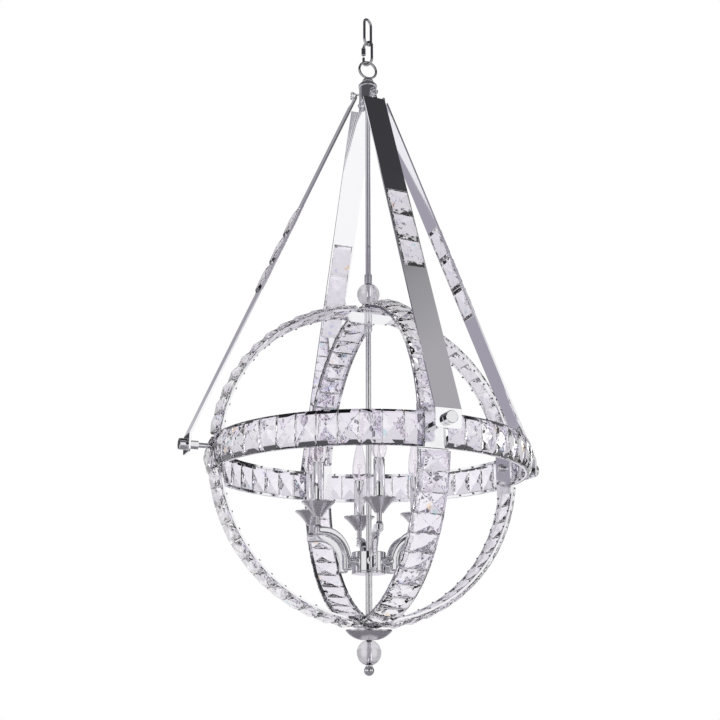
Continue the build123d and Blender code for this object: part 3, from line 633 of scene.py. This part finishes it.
def smoothed(piece):
    """Smooth shading that keeps flat faces flat beside rounded edges."""
    bpy.ops.object.shade_smooth_by_angle(angle=SMOOTH_WITHIN)
    even = piece.modifiers.new("even_light", "WEIGHTED_NORMAL")
    even.keep_sharp = True
    bpy.ops.object.modifier_apply(modifier=even.name)


for node, width in SOFT_EDGES.items():
    piece = copied(node, node + "_soft")
    rounded(piece, width)
    smoothed(piece)
    piece.data.materials.append(FINISHES[SLOT_OF[node]])
    seat(piece, node)
    print(piece.name, len(piece.data.polygons))

# %% [markdown]
# ## Bending the arms
#
# Each lamp stands on a bar that rises beside the drum, bends outward in a quarter circle and runs
# level. Its long edges are well rounded, and the stub that holds it to the drum is wider than the bar,
# so a copy can't be rounded that much. One bar is drawn from its foot instead: raised, swept round the
# bend, run out, rounded and joined to its stub. Copies of it turn to the six lamps.

# %% Measure the arm
BAR_WIDTH = 11.0 * MM
BAR_DEPTH = 13.0 * MM
BAR_ROUND = 3.2 * MM
LEG_R = 42.0 * MM
LEG_HEIGHT = 13.5 * MM
BEND_R = 42.0 * MM
BEND_STEPS = 20
LEVEL_RUN = 18.5 * MM
STUB_R = 7.0 * MM
STUB_START = 25.05 * MM
STUB_ROUND = 0.8 * MM
STUB_SIDES = 48

drum_low, drum_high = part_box("arm_hub")
foot_z = drum_low[2]
bend_z = foot_z + LEG_HEIGHT
print("arm from", round(foot_z, 4), "to", round(bend_z + BEND_R + BAR_DEPTH / 2, 4))

# %% Bend one arm
bpy.ops.object.select_all(action="DESELECT")
bpy.ops.mesh.primitive_plane_add(size=1.0, location=(LEG_R, 0, foot_z))
bar = bpy.context.object
bar.scale = (BAR_DEPTH, BAR_WIDTH, 1)
bpy.ops.object.transform_apply(location=True, scale=True)
bpy.ops.object.mode_set(mode="EDIT")
bpy.ops.mesh.select_all(action="SELECT")
bpy.ops.mesh.extrude_region_move(TRANSFORM_OT_translate={"value": (0, 0, LEG_HEIGHT)})
bpy.ops.mesh.spin(
    steps=BEND_STEPS, angle=-pi / 2, center=(LEG_R + BEND_R, 0, bend_z), axis=(0, 1, 0)
)
bpy.ops.mesh.extrude_region_move(TRANSFORM_OT_translate={"value": (LEVEL_RUN, 0, 0)})
bpy.ops.mesh.select_all(action="SELECT")
bpy.ops.mesh.remove_doubles(threshold=MERGE_WITHIN)
bpy.ops.mesh.normals_make_consistent(inside=False)
bpy.ops.object.mode_set(mode="OBJECT")
rounded(bar, BAR_ROUND)
print("bar:", len(bar.data.polygons), [round(size, 4) for size in bar.dimensions])

# %% Join the bar to its stub
bpy.ops.object.select_all(action="DESELECT")
bpy.ops.mesh.primitive_cylinder_add(
    vertices=STUB_SIDES, radius=STUB_R, depth=LEG_R - STUB_START, rotation=(0, pi / 2, 0),
    location=((LEG_R + STUB_START) / 2, 0, (drum_low[2] + drum_high[2]) / 2),
)
stub = bpy.context.object
bpy.ops.object.transform_apply(location=True, rotation=True)
rounded(stub, STUB_ROUND, segments=2, edge_angle=60.0)
bpy.context.view_layer.objects.active = bar
join = bar.modifiers.new("stub", "BOOLEAN")
join.operation = "UNION"
join.object = stub
bpy.ops.object.modifier_apply(modifier=join.name)
bpy.data.objects.remove(stub)
bar.select_set(True)
smoothed(bar)
bar.data.materials.append(CHROME)
print("bar with its stub:", len(bar.data.polygons))

# %% Copy the arm to the six lamps
LAMPS = 6

for number in range(1, LAMPS + 1):
    low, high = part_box(f"bulb_{number}")
    arm = copy_of(bar, f"arm_{number}_bent")
    arm.rotation_euler.z = atan2(low[1] + high[1], low[0] + high[0])
    bpy.ops.object.transform_apply(rotation=True)
    seat(arm, f"arm_{number}")
bpy.data.objects.remove(bar)
print("arms:", LAMPS)

# %% [markdown]
# ## Cutting the crystals
#
# A cutter's wheel leaves a narrow polished bevel on every edge, and those bevels glitter. One block
# could be modelled and set round the rings, but the frame's blocks have their place and cuts already,
# so copies of them get the bevels. Then each face takes a mix by the way it looks: backs take a painted
# lavender shade, and on the level ring the sloping ends take a painted dark reflection.

# %% Cut a set of blocks
CUT_BEVEL = 0.4 * MM
CUT_ANGLE = 4.0
BACK_SLOT, END_SLOT = 1, 2
END_LEAN = (0.4, 0.95)
END_FACING = 0.7
BACK_FACING = -0.9


def cut_crystals(node, directions, end_finish):
    """Crystals of a node; directions(place) gives a block's outward and lengthwise directions."""
    piece = copied(node, node + "_cut")
    rounded(piece, CUT_BEVEL, segments=1, edge_angle=CUT_ANGLE)
    for finish in (CRYSTAL_CLEAR, CRYSTAL_BACK_PAINTED_LAVENDER, end_finish):
        piece.data.materials.append(finish)
    for face in piece.data.polygons:
        outward, lengthwise = directions(face.center)
        facing = face.normal.dot(outward)
        leaning = abs(face.normal.dot(lengthwise))
        # Ends leaning outward take the end finish, on the level ring a painted dark reflection; backs
        # take the painted lavender shade.
        if END_LEAN[0] < leaning < END_LEAN[1] and facing > END_FACING:
            face.material_index = END_SLOT
        elif facing < BACK_FACING:
            face.material_index = BACK_SLOT
    seat(piece, node)
    print(piece.name, len(piece.data.polygons))


# %% Cut the blocks of the rings
UP = Vector((0, 0, 1))
SIDE_RING_AXIS = Vector((0, 1, 0))
FRONT_RING_AXIS = Vector((1, 0, 0))


def ring_directions(axis):
    """Directions of the blocks on a ring: outward from its axis, and lengthwise along it."""
    def directions(place):
        spoke = place - MIDDLE
        return (spoke - axis * spoke.dot(axis)).normalized(), axis
    return directions


cut_crystals("level_ring_crystals", ring_directions(UP), CRYSTAL_END_PAINTED_DARK)
cut_crystals("side_ring_crystals", ring_directions(SIDE_RING_AXIS), CRYSTAL_CLEAR)
cut_crystals("front_ring_crystals", ring_directions(FRONT_RING_AXIS), CRYSTAL_CLEAR)

# %% Cut the blocks of the straps
STRAP_LEAN = radians(23.26)
QUARTER = pi / 2


def strap_directions(place):
    """Directions of a block in the nearest strap: outward from its face, and down along it."""
    bearing = round(atan2(place.y, place.x) / QUARTER) * QUARTER
    spoke = Vector((cos(bearing), sin(bearing), 0))
    outward = spoke * cos(STRAP_LEAN) + UP * sin(STRAP_LEAN)
    return outward, spoke * sin(STRAP_LEAN) - UP * cos(STRAP_LEAN)


cut_crystals("strap_crystals", strap_directions, CRYSTAL_CLEAR)

# %% [markdown]
# ## Blowing the bulbs
#
# A bulb of solid glass would bend the room like a lens. A real one is a thin shell, nearly invisible but
# for its edges. It could be spun from an outline, but drawn up ring by ring from the neck, each height
# and width is set by itself. One shell is made this way, given a wall and its inner parts, and copied
# to the six lamps.

# %% Helper for forms about an axis
RING_SIDES = 40


def ring_object(name, rings, foot="NGON"):
    """Form about the axis, drawn up through rings of (height, radius) in mm; its foot may stay open."""
    bpy.ops.object.select_all(action="DESELECT")
    level, size = rings[0]
    bpy.ops.mesh.primitive_circle_add(
        vertices=RING_SIDES, radius=size * MM, fill_type=foot, location=(0, 0, level * MM)
    )
    piece = bpy.context.object
    piece.name = name
    bpy.ops.object.transform_apply(location=True)
    bpy.ops.object.mode_set(mode="EDIT")
    bpy.ops.mesh.select_all(action="SELECT")
    for new_level, new_size in rings[1:]:
        lift = (0, 0, (new_level - level) * MM)
        bpy.ops.mesh.extrude_region_move(TRANSFORM_OT_translate={"value": lift})
        grow = new_size / size
        bpy.ops.transform.resize(value=(grow, grow, 1), center_override=(0, 0, new_level * MM))
        level, size = new_level, new_size
    if foot == "NOTHING":
        bpy.ops.mesh.edge_face_add()
    bpy.ops.mesh.select_all(action="SELECT")
    bpy.ops.mesh.normals_make_consistent(inside=False)
    bpy.ops.object.mode_set(mode="OBJECT")
    bpy.ops.object.shade_smooth()
    return piece


# %% Draw up one bulb
BULB_RINGS = [
    (0.0, 5.7), (2.0, 7.6), (6.0, 9.8), (12.0, 11.2), (18.0, 11.4), (26.0, 11.0),
    (36.0, 9.7), (46.0, 7.9), (56.0, 5.8), (65.0, 3.9), (72.0, 2.3), (75.5, 1.0),
]
GLASS_WALL = 0.7 * MM

shell = ring_object("bulb_shell", BULB_RINGS, foot="NOTHING")
wall = shell.modifiers.new("glass_wall", "SOLIDIFY")
wall.thickness = GLASS_WALL
wall.offset = -1.0
bpy.ops.object.modifier_apply(modifier=wall.name)
shell.data.materials.append(BULB_GLASS)
print("shell:", len(shell.data.polygons))

# %% Make its stem, filament and screw base
STEM_RINGS = [(1.0, 4.6), (3.0, 2.6), (10.0, 1.7), (19.0, 1.1), (20.0, 0.5)]
BASE_RINGS = [(-28.0, 2.5), (-26.5, 5.2), (-25.0, 5.6), (-1.0, 5.6), (0.0, 5.5)]
FILAMENT_R = 3.6 * MM
FILAMENT_Z = 25.0 * MM
FILAMENT_STEPS = 28
WIRE_R = 0.22 * MM
WIRE_SIDES = 6

stem = ring_object("bulb_stem", STEM_RINGS)
stem.data.materials.append(BULB_GLASS)
bpy.ops.mesh.primitive_torus_add(
    major_radius=FILAMENT_R, minor_radius=WIRE_R,
    major_segments=FILAMENT_STEPS, minor_segments=WIRE_SIDES,
    location=(0, 0, FILAMENT_Z), rotation=(pi / 2, 0, 0),
)
filament = bpy.context.object
filament.data.materials.append(SCREW_STEEL)
base = ring_object("bulb_base", BASE_RINGS)
base.data.materials.append(CHROME)
bpy.ops.object.select_all(action="DESELECT")
for piece in (stem, filament, base, shell):
    piece.select_set(True)
bpy.context.view_layer.objects.active = shell
bpy.ops.object.transform_apply(location=True, rotation=True)
bpy.ops.object.join()
print("bulb:", len(shell.data.polygons))

# %% Copy the bulb to the six lamps
BASE_LENGTH = 28.3 * MM

for number in range(1, LAMPS + 1):
    node = f"bulb_{number}"
    low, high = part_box(node)
    bulb = copy_of(shell, node + "_blown")
    bulb.location = ((low[0] + high[0]) / 2, (low[1] + high[1]) / 2, low[2] + BASE_LENGTH)
    bpy.ops.object.transform_apply(location=True)
    seat(bulb, node)
bpy.data.objects.remove(shell)
print("bulbs:", LAMPS)

# %% [markdown]
# ## Finishes for the pieces that stay
#
# Every other piece is small or smooth enough to keep its frame shape, so it only takes one of the mixes
# above. The links, their sleeve and the loop are drawn from plain wire, and their chrome has a darker
# colour than the turned chrome: a painted dark reflection. The spun cups and the cap under the globe
# have a satin face.

# %% Hand out the finishes
OWN_FINISHES = {
    "chain_link_upper": LINK_CHROME_PAINTED_DARK, "chain_link_lower": LINK_CHROME_PAINTED_DARK, "link_sleeve": LINK_CHROME_PAINTED_DARK,
    "hanging_loop": LINK_CHROME_PAINTED_DARK, "lamp_cups": SATIN_CHROME, "bottom_cap": SATIN_CHROME,
}

for name, piece in NODES.items():
    for slot in piece.material_slots:
        slot.material = OWN_FINISHES.get(name, FINISHES[SLOT_OF[name]])
print("pieces with a finish:", len(NODES))

# %% [markdown]
# ## Staying in the box
#
# The dressed model has to stay inside the frame's box. It could be judged by eye, but a thin lip past
# the box is easily missed.

# %% Finish
print("finished")
